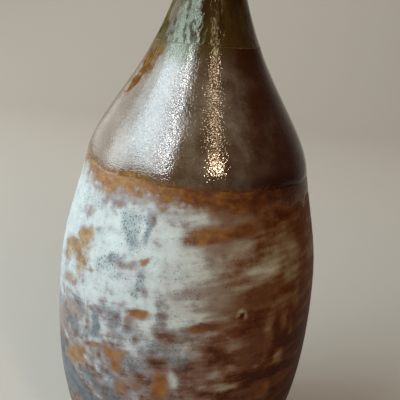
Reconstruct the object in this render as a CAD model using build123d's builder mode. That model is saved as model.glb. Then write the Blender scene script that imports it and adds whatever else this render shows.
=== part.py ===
from build123d import *

import math
import os

# Wheel-thrown stoneware bottle vase: clay sections luted together, then coated with slip and glaze.
# The pot stands on the plane Z = 0 with its axis on Z. One outline, the outside of the bare clay, drives
# every piece: walls lie inside it and coats outside it, each bounded by that outline moved sideways.

# Driving dimensions, in millimetres and degrees

# Foot ring
foot_height = 8.0
foot_radius = 61.0
foot_width = 11.0
foot_edge = 1.5

# Outline of the clay, from the base to the lip. A rise is the height above the point before, an inset is
# how far the point lies inside the widest girth.
base_overhang = 2.5
belly_radius = 90.5
curve_rise = 42.0
curve_inset = 8.7
flank_rise = 45.0
flank_inset = 1.1
belly_rise = 45.0
chest_rise = 30.0
chest_inset = 2.4
upper_rise = 35.0
upper_inset = 10.0
shoulder_rise = 31.0
shoulder_inset = 17.8
crown_rise = 26.0
crown_inset = 31.6
neck_rise = 43.0
neck_radius = 34.4
stem_rise = 30.0
stem_radius = 22.8
throat_rise = 23.0
throat_radius = 18.4
lip_rise = 27.0
lip_flare = 6.2

# Walls and floor
clay_wall = 6.5
floor_thickness = 10.0
floor_corner = 14.0

# Seams between the thrown sections
seam_bevel = 20.0
lute_gap = 1.2
lute_bead = 0.5

# Coats. Each keeps a bond gap to the clay and has its thickness counted from the clay.
bond_gap = 0.05
slip_thickness = 0.6
amber_thickness = 0.9
shoulder_glaze_thickness = 1.1
neck_glaze_thickness = 1.4
liner_thickness = 0.8
bare_margin = 5.0
amber_width = 10.0
glaze_drop = 13.0

# Heights above the table
curve_height = foot_height + curve_rise
flank_height = curve_height + flank_rise
belly_height = flank_height + belly_rise
chest_height = belly_height + chest_rise
upper_height = chest_height + upper_rise
shoulder_height = upper_height + shoulder_rise
crown_height = shoulder_height + crown_rise
neck_height = crown_height + neck_rise
stem_height = neck_height + stem_rise
throat_height = stem_height + throat_rise
lip_height = throat_height + lip_rise
floor_height = foot_height + floor_thickness
slip_line_height = foot_height + bare_margin
glaze_line_height = shoulder_height - glaze_drop
amber_line_height = glaze_line_height - amber_width

# Radii of the clay's outside
base_radius = foot_radius + base_overhang
shoulder_radius = belly_radius - shoulder_inset
lip_radius = throat_radius + lip_flare
lip_middle = lip_radius - clay_wall / 2
reach = 2 * belly_radius

outline_points = [
    (base_radius, foot_height),
    (belly_radius - curve_inset, curve_height),
    (belly_radius - flank_inset, flank_height),
    (belly_radius, belly_height),
    (belly_radius - chest_inset, chest_height),
    (belly_radius - upper_inset, upper_height),
    (shoulder_radius, shoulder_height),
    (belly_radius - crown_inset, crown_height),
    (neck_radius, neck_height),
    (stem_radius, stem_height),
    (throat_radius, throat_height),
    (lip_radius, lip_height),
]


def filled(inset):
    """Half section from the axis to the outline moved inwards by inset, flat at the base and at the lip."""
    points = [(radius - inset, height) for radius, height in outline_points]
    with BuildSketch(Plane.XZ) as section:
        with BuildLine():
            Spline(*points)
            Polyline(points[-1], (0, lip_height), (0, foot_height), points[0])
        make_face()
    return section.sketch


def hollow(inset, bottom):
    """Half section of the space inside a wall, with its floor rounded into the side."""
    with BuildSketch(Plane.XZ) as section:
        add(filled(inset))
        add(band(level(bottom), level(lip_height)), mode=Mode.INTERSECT)
        floor_rim = section.vertices().group_by(Axis.Z)[0].sort_by(Axis.X)[-1]
        fillet(floor_rim, floor_corner)
    return section.sketch


def rolled_lip(radius):
    """Half disc over the middle of the wall, which rounds the lip."""
    with BuildSketch(Plane.XZ) as section:
        with BuildLine():
            CenterArc((lip_middle, lip_height), radius, 0, 180)
            Line((lip_middle - radius, lip_height), (lip_middle + radius, lip_height))
        make_face()
    return section.sketch


def pot_wall(coat, lining):
    """Half section of the whole pot, with a coat of one thickness outside and a lining inside."""
    with BuildSketch(Plane.XZ) as section:
        add(filled(-coat))
        add(hollow(clay_wall + lining, floor_height + lining), mode=Mode.SUBTRACT)
        add(rolled_lip(clay_wall / 2 + coat))
    return section.sketch


def level(height):
    """A flat cut, as its height at the axis and its height far outside the pot."""
    return height, height


def seam(radius, height, rise):
    """A bevelled cut that climbs outwards through a point of the outline, lifted by rise."""
    slope = math.tan(math.radians(seam_bevel))
    return height + rise - radius * slope, height + rise + (reach - radius) * slope


def band(low, high):
    """Everything between two cuts."""
    with BuildSketch(Plane.XZ) as section:
        with BuildLine():
            Polyline((0, low[0]), (reach, low[1]), (reach, high[1]), (0, high[0]), close=True)
        make_face()
    return section.sketch


# Cuts at which the pieces end. Each seam has one below and one above its joining slip.
base_cut = level(foot_height)
slip_cut = level(slip_line_height)
amber_cut = level(amber_line_height)
glaze_cut = level(glaze_line_height)
belly_cut_low = seam(belly_radius, belly_height, -lute_gap / 2)
belly_cut_high = seam(belly_radius, belly_height, lute_gap / 2)
shoulder_cut_low = seam(shoulder_radius, shoulder_height, -lute_gap / 2)
shoulder_cut_high = seam(shoulder_radius, shoulder_height, lute_gap / 2)
neck_cut_low = seam(neck_radius, neck_height, -lute_gap / 2)
neck_cut_high = seam(neck_radius, neck_height, lute_gap / 2)
top_cut = level(lip_height + clay_wall)

os.makedirs("parts", exist_ok=True)

# Foot ring: a turned coil of bare clay, which the pot rests on
with BuildPart() as foot_ring:
    with BuildSketch(Plane.XY):
        Circle(foot_radius)
        Circle(foot_radius - foot_width, mode=Mode.SUBTRACT)
    extrude(amount=foot_height - lute_gap)
    resting_edges = foot_ring.edges().group_by(Axis.Z)[0]
    fillet(resting_edges, foot_edge)
foot_ring.part.label = "foot_ring"
export_step(foot_ring.part, "parts/foot_ring.step")

# Foot lute: the joining slip that beds the ring on the base
with BuildPart() as foot_lute:
    with BuildSketch(Plane.XY.offset(foot_height - lute_gap)):
        Circle(foot_radius)
        Circle(foot_radius - foot_width, mode=Mode.SUBTRACT)
    extrude(amount=lute_gap)
foot_lute.part.label = "foot_lute"
export_step(foot_lute.part, "parts/foot_lute.step")

# Lower section: the thrown floor and the wall up to the widest girth
with BuildPart() as lower_section:
    with BuildSketch(Plane.XZ):
        add(pot_wall(0, 0))
        add(band(base_cut, belly_cut_low), mode=Mode.INTERSECT)
    revolve(axis=Axis.Z)
lower_section.part.label = "lower_section"
export_step(lower_section.part, "parts/lower_section.step")

# Belly lute: joining slip in the bevelled seam at the widest girth
with BuildPart() as belly_lute:
    with BuildSketch(Plane.XZ):
        add(pot_wall(0, 0))
        add(band(belly_cut_low, belly_cut_high), mode=Mode.INTERSECT)
    revolve(axis=Axis.Z)
belly_lute.part.label = "belly_lute"
export_step(belly_lute.part, "parts/belly_lute.step")

# Middle section: the thrown ring between belly and shoulder
with BuildPart() as middle_section:
    with BuildSketch(Plane.XZ):
        add(pot_wall(0, 0))
        add(band(belly_cut_high, shoulder_cut_low), mode=Mode.INTERSECT)
    revolve(axis=Axis.Z)
middle_section.part.label = "middle_section"
export_step(middle_section.part, "parts/middle_section.step")

# Shoulder lute: joining slip where the wall turns in
with BuildPart() as shoulder_lute:
    with BuildSketch(Plane.XZ):
        add(pot_wall(0, 0))
        add(band(shoulder_cut_low, shoulder_cut_high), mode=Mode.INTERSECT)
    revolve(axis=Axis.Z)
shoulder_lute.part.label = "shoulder_lute"
export_step(shoulder_lute.part, "parts/shoulder_lute.step")

# Shoulder section: the thrown cone that closes the body in towards the neck
with BuildPart() as shoulder_section:
    with BuildSketch(Plane.XZ):
        add(pot_wall(0, 0))
        add(band(shoulder_cut_high, neck_cut_low), mode=Mode.INTERSECT)
    revolve(axis=Axis.Z)
shoulder_section.part.label = "shoulder_section"
export_step(shoulder_section.part, "parts/shoulder_section.step")

# Neck lute: joining slip that stands out as a bead between the shoulder glaze and the neck glaze
with BuildPart() as neck_lute:
    with BuildSketch(Plane.XZ):
        add(pot_wall(neck_glaze_thickness + lute_bead, neck_glaze_thickness))
        add(band(neck_cut_low, neck_cut_high), mode=Mode.INTERSECT)
    revolve(axis=Axis.Z)
neck_lute.part.label = "neck_lute"
export_step(neck_lute.part, "parts/neck_lute.step")

# Neck section: the thrown neck with its flared, rounded lip
with BuildPart() as neck_section:
    with BuildSketch(Plane.XZ):
        add(pot_wall(0, 0))
        add(band(neck_cut_high, top_cut), mode=Mode.INTERSECT)
    revolve(axis=Axis.Z)
neck_section.part.label = "neck_section"
export_step(neck_section.part, "parts/neck_section.step")

# Body slip: the pale brushed coat, from a bare margin above the foot up to the amber band
with BuildPart() as body_slip:
    with BuildSketch(Plane.XZ):
        add(filled(-slip_thickness))
        add(filled(-bond_gap), mode=Mode.SUBTRACT)
        add(band(slip_cut, amber_cut), mode=Mode.INTERSECT)
    revolve(axis=Axis.Z)
body_slip.part.label = "body_slip"
export_step(body_slip.part, "parts/body_slip.step")

# Amber band: the thin run of glaze over slip under the shoulder glaze's edge
with BuildPart() as amber_band:
    with BuildSketch(Plane.XZ):
        add(filled(-amber_thickness))
        add(filled(-bond_gap), mode=Mode.SUBTRACT)
        add(band(amber_cut, glaze_cut), mode=Mode.INTERSECT)
    revolve(axis=Axis.Z)
amber_band.part.label = "amber_band"
export_step(amber_band.part, "parts/amber_band.step")

# Shoulder glaze: the brown coat from the amber band up to the neck seam
with BuildPart() as shoulder_glaze:
    with BuildSketch(Plane.XZ):
        add(filled(-shoulder_glaze_thickness))
        add(filled(-bond_gap), mode=Mode.SUBTRACT)
        add(band(glaze_cut, neck_cut_low), mode=Mode.INTERSECT)
    revolve(axis=Axis.Z)
shoulder_glaze.part.label = "shoulder_glaze"
export_step(shoulder_glaze.part, "parts/shoulder_glaze.step")

# Neck glaze: the thicker olive coat that wraps the neck outside, over the lip and inside
with BuildPart() as neck_glaze:
    with BuildSketch(Plane.XZ):
        add(pot_wall(neck_glaze_thickness, neck_glaze_thickness))
        add(pot_wall(bond_gap, bond_gap), mode=Mode.SUBTRACT)
        add(band(neck_cut_high, top_cut), mode=Mode.INTERSECT)
    revolve(axis=Axis.Z)
neck_glaze.part.label = "neck_glaze"
export_step(neck_glaze.part, "parts/neck_glaze.step")

# Liner glaze: the coat over the floor and the inside of the body that makes the pot hold water
with BuildPart() as liner_glaze:
    with BuildSketch(Plane.XZ):
        add(hollow(clay_wall + bond_gap, floor_height + bond_gap))
        add(hollow(clay_wall + liner_thickness, floor_height + liner_thickness), mode=Mode.SUBTRACT)
        add(band(base_cut, neck_cut_low), mode=Mode.INTERSECT)
    revolve(axis=Axis.Z)
liner_glaze.part.label = "liner_glaze"
export_step(liner_glaze.part, "parts/liner_glaze.step")
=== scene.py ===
"""Looks of a wheel-thrown stoneware bottle vase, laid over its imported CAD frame.

Blender works in metres with +Z up the pot's axis and the front of the pot towards -Y. Angles on the pot are
degrees round the axis, 0 at the front and growing towards +X. Heights and coat thicknesses are millimetres.
"""

import math
from functools import partial

import bpy
import numpy as np
from mathutils import Matrix, Vector


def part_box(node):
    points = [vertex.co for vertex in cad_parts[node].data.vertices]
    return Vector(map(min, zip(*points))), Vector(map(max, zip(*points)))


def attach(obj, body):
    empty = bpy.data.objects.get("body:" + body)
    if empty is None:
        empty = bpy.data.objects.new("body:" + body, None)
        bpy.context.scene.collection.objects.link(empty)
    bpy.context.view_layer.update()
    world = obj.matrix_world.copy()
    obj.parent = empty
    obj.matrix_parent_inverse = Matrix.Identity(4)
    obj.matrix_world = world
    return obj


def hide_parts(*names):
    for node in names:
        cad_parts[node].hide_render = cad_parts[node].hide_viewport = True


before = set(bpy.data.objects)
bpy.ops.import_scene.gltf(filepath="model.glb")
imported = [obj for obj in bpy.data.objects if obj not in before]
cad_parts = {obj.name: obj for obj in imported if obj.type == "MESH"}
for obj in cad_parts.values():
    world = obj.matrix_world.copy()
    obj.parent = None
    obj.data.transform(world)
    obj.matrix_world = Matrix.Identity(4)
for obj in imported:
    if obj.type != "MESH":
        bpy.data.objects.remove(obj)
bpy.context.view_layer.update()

MM = 0.001
CLAY_WALLS = ("lower_section", "middle_section", "shoulder_section", "neck_section")
# Gap between clay and coat, thickness of the joining slip in the neck's seam, and its slope in degrees
BOND = 0.05
LUTE = 1.2
SEAM_BEVEL = 20


# Outline of the clay, read off the CAD walls

# Probes go in at one turn of the pot, in radians, and keep clear of the seams and of the foot
PROBE_TURN = 0.6
PROBE_STEP = 18
SEAM_MARGIN = 4
FOOT_MARGIN = 0.2
NECK_PROBE = 340.0


def wall_radius(node, height, from_axis=False):
    """Radius at which a level ray meets a CAD wall, from outside or from the axis, in mm."""
    way = Vector((math.sin(PROBE_TURN), -math.cos(PROBE_TURN), 0))
    start = Vector((0, 0, height * MM)) + (Vector() if from_axis else way)
    found, place, _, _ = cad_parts[node].ray_cast(start, way if from_axis else -way)
    if not found:
        raise ValueError(f"no wall of {node} at {height} mm")
    return math.hypot(place.x, place.y) / MM


def natural_curve(x, y):
    """The smooth curve through points, with no bend at its ends, as a function."""
    x, y = np.array(x), np.array(y)
    step, count = np.diff(x), len(x)
    bends, pull = np.eye(count), np.zeros(count)
    for i in range(1, count - 1):
        bends[i, i - 1:i + 2] = step[i - 1], 2 * (step[i - 1] + step[i]), step[i]
        pull[i] = 6 * ((y[i + 1] - y[i]) / step[i] - (y[i] - y[i - 1]) / step[i - 1])
    bend = np.linalg.solve(bends, pull)

    def at(q):
        i = np.clip(np.searchsorted(x, q) - 1, 0, count - 2)
        gone, left, wide = q - x[i], x[i + 1] - q, step[i]
        curve = (bend[i] * left ** 3 + bend[i + 1] * gone ** 3) / (6 * wide)
        from_left = (y[i] / wide - bend[i] * wide / 6) * left
        return curve + from_left + (y[i + 1] / wide - bend[i + 1] * wide / 6) * gone

    return at


def clay_outline():
    """The clay's outside radius as a function of height, from a few probes on each thrown wall."""
    heights, radii = [], []
    for node in CLAY_WALLS:
        low, high = (corner.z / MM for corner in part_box(node))
        top = LIP if node == "neck_section" else high - SEAM_MARGIN
        bottom = low + (FOOT_MARGIN if node == "lower_section" else SEAM_MARGIN)
        for height in np.linspace(bottom, top, max(3, round((top - bottom) / PROBE_STEP))):
            heights.append(height)
            radii.append(wall_radius(node, height))
    return natural_curve(heights, radii)


WALL = wall_radius("neck_section", NECK_PROBE) - wall_radius("neck_section", NECK_PROBE, from_axis=True)
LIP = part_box("neck_section")[1].z / MM - WALL / 2
SLIP_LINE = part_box("body_slip")[0].z / MM
AMBER_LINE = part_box("amber_band")[0].z / MM
GLAZE_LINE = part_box("shoulder_glaze")[0].z / MM
NECK_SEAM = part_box("neck_lute")[1].z / MM - LUTE
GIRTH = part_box("lower_section")[1].x / MM
clay = clay_outline()


# Marks: (angle, height, half width in degrees, half height in mm, tilt in degrees, amount)

BARE_STROKES = [
    (-17, 203, 2.2, 8, 0, 0.30), (-35, 205, 4, 3, 0, 0.25), (-55, 196, 6, 4, 5, 0.28),
    (-62, 191, 4, 2.5, 10, 0.15), (-43, 188, 3, 2, 5, 0.30), (-36, 189, 3, 2.5, -10, 0.30),
    (-25, 171, 6, 3, 15, 0.32), (-32, 172, 3, 3, 0, 0.20), (-8, 166, 4, 5, 0, 0.16),
    (4, 165, 6, 4, 10, 0.15), (-16, 158, 1.5, 5, 0, 0.35), (-8, 147, 2.2, 8, 0, 0.30),
    (-22, 133, 2, 7, 0, 0.30), (-30, 137, 4, 4, 0, 0.22), (-50, 133, 4, 5, 0, 0.25),
    (-38, 126, 2, 8, 0, 0.22), (-58, 135, 5, 5, 15, 0.25), (-60, 118, 5, 5, 15, 0.30),
    (-52, 112, 5, 3, 15, 0.25), (-6, 131, 5, 4, 0, 0.30), (-8, 111, 4, 5, 0, 0.55),
    (4, 105, 4, 10, 0, 0.35), (-14, 98, 5, 7, 0, 0.30), (-40, 103, 5, 4, 10, 0.15),
    (-62, 95, 7, 6, 20, 0.35), (10, 127, 8, 6, 5, 0.20), (15, 117, 6, 8, 0, 0.25),
    (30, 138, 5, 20, 0, 0.15), (48, 206, 13, 9, 0, 0.30), (55, 160, 12, 10, 0, 0.10),
    (58, 120, 10, 12, 0, 0.20), (40, 90, 8, 8, 0, 0.25), (20, 92, 8, 4, 0, 0.20), (32, 186, 3, 5, 15, 0.20),
    (-30, 208, 12, 4, 0, 0.22), (-12, 205, 5, 5, 0, 0.28), (-50, 207, 7, 4, 0, 0.20),
    (-38, 178, 3, 4, 0, 0.15), (-4, 204, 5, 5, 0, 0.20), (24, 145, 1, 1.6, 0, 0.6),
]
PALE_STROKES = [
    (-33, 190, 3.5, 14, 0, 0.20), (-24, 180, 8, 3.5, 8, 0.20), (-43, 170, 4, 6, 0, 0.20),
    (-32, 152, 8, 4, 0, 0.20), (-44, 141, 5, 14, 0, 0.15), (-12.5, 147, 2, 13, 0, 0.25),
    (-2, 144, 4, 5, 0, 0.22), (-19, 123, 5, 7, 0, 0.20), (-35, 95, 12, 2.5, -25, 0.35),
    (-2.5, 101, 2, 9, 0, 0.30), (-70, 198, 9, 12, 15, 0.15), (-65, 166, 7, 3, 18, 0.15),
    (-8, 188, 5, 25, 0, 0.10), (8, 206, 4, 5, 0, 0.15), (22, 187, 6, 5, 10, 0.24), (33, 174, 9, 7, 8, 0.26),
    (38, 134, 2.6, 11, 0, 0.26), (46, 137, 2.6, 7, 0, 0.22), (45, 112, 3, 5, 0, 0.24),
    (37, 116, 1.5, 5, 0, 0.22), (22, 109, 4, 3, 0, 0.20), (15, 106, 4, 3, 0, 0.18),
    (17, 97, 9, 2.6, 3, 0.22), (33.5, 108, 1.5, 2, 0, 0.2), (4, 122, 6, 8, 0, 0.15),
    (10, 134, 7, 3, 6, 0.18), (12, 146, 9, 3, 8, 0.18), (25, 206, 5, 3, 10, 0.16),
    (34, 206, 5, 4, 10, 0.12), (-18, 84, 4, 4, 0, 0.20), (-47, 86, 12, 2, -25, 0.30),
    (45, 181, 9, 8, 8, 0.20), (-40, 104, 9, 2, -22, 0.25), (-58, 104, 9, 2, -25, 0.25),
    (25, 128, 7, 3, 8, 0.12), (50, 170, 5, 6, 0, 0.16), (54, 150, 3, 9, 0, 0.12), (28, 82, 9, 3, 5, 0.16),
    (8, 86, 6, 3, 0, 0.18), (52, 128, 2, 7, 0, 0.14), (24, 149, 1.8, 1.2, 0, 0.45),
    (25.8, 145.5, 0.8, 2.6, 0, 0.45), (22.4, 146, 0.7, 2, 0, 0.3), (-58, 90, 11, 1.6, -25, 0.22),
    (-54, 79, 12, 1.8, -24, 0.22), (-64, 73, 10, 1.5, -22, 0.20), (-40, 77, 9, 1.4, -22, 0.20),
]
RUST_STROKES = [
    (-17.5, 175.5, 1.6, 1.6, 20, 0.95), (-25, 172.5, 5, 2, 15, 0.5), (-18, 142.5, 4.5, 2.6, 0, 0.95),
    (-21.5, 138, 2.5, 2.2, 0, 0.6), (-43, 162, 1.4, 1.6, 0, 0.65), (-40.5, 135.5, 0.9, 1.8, 0, 0.7),
    (-54, 146, 2, 1.6, 20, 0.6), (-32, 115, 1.3, 3, 0, 0.7), (-28, 111, 4.5, 3.4, 0, 0.9),
    (-26.5, 104, 2.6, 5, 0, 0.9), (-38, 111.5, 5, 1.8, 12, 0.8), (-22, 115, 1.3, 1.8, 0, 0.7),
    (-23, 88, 3, 4.5, 0, 0.7), (-18, 94, 2.5, 5, 0, 0.55), (-7, 96, 3, 10, 0, 1.0),
    (-33.5, 205.5, 2, 2, 0, 0.6), (9, 196, 9, 5, 8, 1.0), (21, 199.5, 9, 4.5, 10, 0.95),
    (0, 192, 3, 2.5, 5, 0.7), (12, 188, 7, 3, 8, 0.55), (22, 214, 14, 7, 0, 0.8), (2, 215, 7, 4, 0, 0.8),
    (10, 138.5, 7, 2.6, 8, 0.95), (17, 141, 4, 1.6, 8, 0.8), (20, 152, 8, 4, 6, 0.5),
    (8, 162, 10, 3, 10, 0.4), (33, 157, 5, 6, 0, 0.5), (31, 122, 6, 12, 0, 0.55), (38, 88, 6, 7, 0, 0.8),
    (48, 94, 4, 3, 0, 0.6), (9, 110, 3, 6, 0, 0.4), (28, 91, 5, 3, 0, 0.5),
]
OCHRE_STROKES = [
    (-51, 178, 5, 6, 20, 1.0), (-58, 171, 9, 5, 18, 0.9), (-52, 166, 5, 6, 0, 0.85),
    (-63, 163, 8, 4, 18, 0.7), (-48.5, 185, 1.5, 3, 30, 0.9), (-51, 158, 4, 5, 0, 0.7),
    (-60, 147, 6, 3, 15, 0.8), (-56, 128, 7, 5, 15, 0.55), (-66, 113, 5, 9, 0, 0.6),
    (-60, 122, 6, 4, 15, 0.45), (-47, 104, 5, 3.5, 15, 0.75), (-51, 97, 6, 5, 8, 0.9),
    (-57, 90.5, 7, 3.5, 12, 0.85), (-43, 97, 3, 2, 10, 0.6), (-53, 197, 4, 3, 0, 0.35),
]
# Slate-blue mottles in the slip; the broad, tilted washes low on the front's left are painted shade with a
# painted bluish reflection
SLATE_SPOTS_AND_SHADE = [
    (-27, 198, 4, 6, 0, 0.55), (-24, 189, 2.5, 7, 10, 0.65), (-18, 194, 1.4, 7, 5, 0.75),
    (-31, 173, 3, 3.5, 0, 0.6), (-36, 169, 6, 4, 8, 0.45), (-30, 163, 5, 3, 0, 0.35),
    (-18, 163, 2.2, 6, -8, 0.6), (-20, 157, 2, 4, 0, 0.5), (-10, 154, 1.5, 6, 0, 0.4),
    (-46, 203, 5, 3, 0, 0.35), (-57, 203, 5, 2, 0, 0.3), (-38, 126, 2, 9, 0, 0.7),
    (-41, 119, 1.5, 4, 0, 0.5), (-31, 140, 5, 3, 0, 0.5), (-28, 134, 4, 5, 0, 0.45),
    (-50, 134, 4, 5, 0, 0.45), (-22, 128, 5, 5, 0, 0.4), (0, 115, 4, 5, 0, 0.6), (-4, 122, 4, 4, 0, 0.5),
    (-42, 186, 3, 2, 0, 0.4), (-64, 194, 3, 2, 0, 0.3), (-23, 138, 2, 6, 0, 0.35),
    (-21, 201, 3, 3, 0, 0.45), (-5, 170, 5, 4, 0, 0.35), (2, 160, 6, 3, 8, 0.35), (22, 163, 4, 5, 0, 0.3),
    (-58, 80, 12, 6, -20, 0.75), (-48, 71, 12, 6, -20, 0.75), (-66, 70, 9, 8, -20, 0.8),
    (-36, 65, 9, 6, -15, 0.7), (-62, 92, 9, 4, -25, 0.7), (-40, 84, 10, 4, -25, 0.6),
    (-30, 92, 7, 3, -25, 0.5), (-52, 118, 8, 4, -10, 0.5), (-20, 108, 7, 4, 0, 0.5),
    (-12, 122, 4, 5, 0, 0.5), (2, 136, 5, 5, 0, 0.4), (-62, 150, 5, 4, 0, 0.3), (-68, 122, 7, 7, 0, 0.5),
    (-8, 140, 3, 7, 0, 0.4), (-13, 178, 4, 3, 0, 0.25), (-50, 150, 4, 3, 0, 0.3), (-25, 80, 8, 4, -20, 0.6),
]
# Slip thickness round the pot, as (angle, thickness): heavy on the front's left, thin on its right
SLIP_ROUND = [
    (-180, 0.50), (-150, 0.66), (-120, 0.58), (-95, 0.74), (-75, 0.84), (-62, 0.82), (-50, 0.75),
    (-33, 0.80), (-18, 0.80), (-3, 0.74), (5, 0.62), (12, 0.50), (27, 0.34), (42, 0.29), (57, 0.32),
    (75, 0.32), (95, 0.34), (120, 0.48), (150, 0.62), (180, 0.50),
]
# Share of that thickness left up the pot, as (height, share): it thins under the glaze, and towards the foot,
# where the thinning is partly painted shade
SLIP_AND_SHADE_UP = [
    (0, 0.36), (60, 0.39), (86, 0.43), (104, 0.56), (130, 0.70), (150, 0.88), (170, 1), (204, 1), (225, 0.8),
]
# How far iron from the body warms the slip round the pot, as (angle, share)
WARM_ROUND = [
    (-180, 0.6), (-140, 0.3), (-90, 0), (-20, 0), (0, 0.25), (20, 0.8), (45, 1), (85, 1), (140, 0.3),
    (180, 0.6),
]
# How far the slip was swept sideways with a wide brush rather than dabbed and left to run, as (angle, share)
SWEPT_ROUND = [
    (-180, 0.6), (-100, 0.4), (-60, 0.15), (-20, 0.15), (5, 0.6), (20, 1), (100, 1), (140, 0.5), (180, 0.6),
]
# How steeply the wide brush climbed across the front, to the right
STROKE_RISE = 0.13
# The unseen side carries the same brushing, laid again at two turns of the pot, as (turn, lift)
BACK_TURNS = [(122, -9), (236, 7)]
FRONT_SIDE = 82

# Runs of the amber glaze under the shoulder glaze: (angle, half width in degrees, length in mm)
AMBER_RUNS = [
    (-52, 6, 1.5), (-43, 3.4, 5), (-34, 4, -1), (-25, 4, -1.5), (-13, 2.4, 6), (-6, 3, 1.5), (3, 5, 3),
    (9, 2.2, 5), (18, 6, 5), (29, 5, 6), (38, 4, 2), (52, 7, 4), (66, 3, 7), (84, 6, 2), (97, 2.4, 10),
    (112, 5, 3), (128, 3, 7), (147, 6, 2), (163, 2.5, 9), (179, 5, 3), (-164, 3, 7), (-149, 6, 1),
    (-131, 2.6, 10), (-116, 5, 2), (-100, 3, 6), (-83, 6, 3), (-68, 4, 0.5),
]
# Wander of the shoulder glaze's lower edge: (angle, half width in degrees, drop in mm)
GLAZE_RUNS = [
    (-72, 16, -3.5), (-47, 6, 1.2), (-30, 8, -1), (-15, 4, 1), (2, 7, 0.8), (22, 10, 1.2), (45, 8, 0.4),
    (64, 7, 1.6), (90, 12, -1.5), (118, 6, 1.8), (143, 9, -1), (172, 6, 1.6), (-160, 8, -1.2),
    (-135, 5, 1.8), (-112, 9, -0.8),
]
# How bright the amber is round the pot, as (angle, brightness): golden on the left, burnt on the right
AMBER_ROUND = [
    (-180, 0.55), (-150, 0.35), (-115, 0.6), (-85, 0.7), (-60, 0.72), (-45, 0.76), (-30, 0.82), (-12, 0.62),
    (0, 0.46), (12, 0.42), (25, 0.36), (38, 0.24), (50, 0.12), (65, 0.08), (90, 0.3), (125, 0.6),
    (155, 0.4), (180, 0.55),
]
# How far the amber hides the slip round the pot, as (angle, cover)
AMBER_COVER = [
    (-180, 0.8), (-140, 1), (-110, 0.6), (-82, 0.2), (-66, 0.45), (-56, 0.85), (-45, 1), (50, 1), (70, 0.8),
    (100, 0.6), (140, 1), (180, 0.8),
]
# Where the glaze breaks thin on the front's left, across the neck's seam: golden, with a reddish fringe
GOLDEN_PATCHES = [
    (-71, 277, 15, 9, 10, 1.0), (-63, 288, 16, 9, 10, 1.0), (-61, 299, 18, 8, 5, 1.0),
    (-67, 311, 16, 9, 0, 1.0), (-75, 324, 12, 12, 0, 0.9),
]
FLUSHED_PATCHES = [(-68, 267, 9, 3, 12, 1.0), (-60, 279, 4, 4, 30, 0.7)]
# How dark the shoulder glaze is round the pot, as (angle, darkness): darker where it is thick, and its
# darkest, on the right, is partly painted shade
GLAZE_DARK_AND_SHADE_ROUND = [
    (-180, 0.5), (-130, 0.35), (-90, 0.15), (-45, 0.05), (-10, 0.15), (12, 0.25), (26, 0.5), (37, 0.85),
    (60, 1), (95, 0.8), (140, 0.45), (180, 0.5),
]
# Where a brush mark starts to fade and where it has ended, in half widths from its middle
MARK_FADES, MARK_ENDS = 0.4, 1.5
# Centre of the burst bubble in the slip, as (angle, height)
PIT = (24, 145.5)
RIDGE_PITCH = 9
# Numbers that mix up a cell's place for the noise
CELL_MIX = np.array([374761393, 668265263, 1103515245])
SLOPE_MIX = 1274126177
SEED_STEP = 17.31


def read_off(table, at):
    """Value of a (place, value) list at every place asked for."""
    return np.interp(at, *zip(*table))


def soft_step(value, low, high):
    """0 below low, 1 above high and a smooth rise between."""
    share = np.clip((value - low) / (high - low), 0, 1)
    return share * share * (3 - 2 * share)


def turned(angle, centre):
    """Angle from a centre, the short way round."""
    return (angle - centre + 180) % 360 - 180


def grain(angle, height, across, along, seed):
    """Smooth noise from -1 to 1 on a drum as wide as the pot, so that it closes round it: a mixed-up slope at
    every whole number, blended between them. Across and along are its grain in mm, round the pot and up it."""
    turn = np.radians(angle)
    level = height / along + 0 * turn
    spot = np.stack([GIRTH * np.sin(turn) / across, -GIRTH * np.cos(turn) / across, level], axis=-1)
    spot = spot + SEED_STEP * seed
    cell = np.floor(spot).astype(np.int64)
    inside = spot - cell
    blend = inside ** 3 * (inside * (inside * 6 - 15) + 10)
    total = np.zeros(len(spot))
    for corner in np.ndindex(2, 2, 2):
        mixed = (cell + corner) @ CELL_MIX
        mixed = (mixed ^ (mixed >> 13)) * SLOPE_MIX
        slopes = np.stack([((mixed >> shift) & 1023) / 511.5 - 1 for shift in (3, 17, 31)], axis=-1)
        weight = np.prod(np.where(corner, blend, 1 - blend), axis=-1)
        total += weight * np.sum(slopes * (inside - corner), axis=-1)
    return 1.15 * total


def all_round(marks):
    """The front's marks, and the same ones laid again on the unseen side."""
    laid = list(marks)
    for turn, lift in BACK_TURNS:
        for angle, height, wide, high, tilt, amount in marks:
            place = turned(angle + turn, 0)
            if abs(place) > FRONT_SIDE:
                laid.append((place, height + lift, wide, high, tilt, amount))
    return laid


def brushed(marks, angle, height, joined=np.add, spread=1.0):
    """How much of the marks lies at each place. A mark has soft, squarish ends, as a flat brush leaves."""
    total = np.zeros(len(angle))
    for place, level, wide, high, tilt, amount in all_round(marks):
        half, high = math.radians(wide) * GIRTH * spread, high * spread
        across = np.radians(turned(angle, place)) * GIRTH
        up = height - level
        near = np.flatnonzero(np.hypot(across, up) < 1.6 * math.hypot(half, high))
        lean = math.radians(tilt)
        along = (across[near] * math.cos(lean) + up[near] * math.sin(lean)) / half
        over = (up[near] * math.cos(lean) - across[near] * math.sin(lean)) / high
        reach = (np.abs(along) ** 3 + np.abs(over) ** 3) ** (1 / 3)
        total[near] = joined(total[near], amount * (1 - soft_step(reach, MARK_FADES, MARK_ENDS)))
    return total


def wandering(runs, angle):
    """How far an edge hangs down round the pot, in mm."""
    drop = np.zeros(len(angle))
    for place, wide, length in runs:
        drop += length * np.exp(-(turned(angle, place) / wide) ** 2)
    return drop


# Coats as they lie on the clay. Each depth is over the clay, in mm, at every (angle, height).

def throwing_ridges(angle, height):
    """Finger ridges that climb slowly round the pot, strongest on the belly."""
    climb = height + angle / 360 * RIDGE_PITCH + 3 * grain(angle, height, 60, 60, 3)
    strength = 0.5 + 0.5 * grain(angle, height, 45, 30, 4)
    return 0.07 * strength * (1 + np.sin(2 * math.pi * climb / RIDGE_PITCH))


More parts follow.
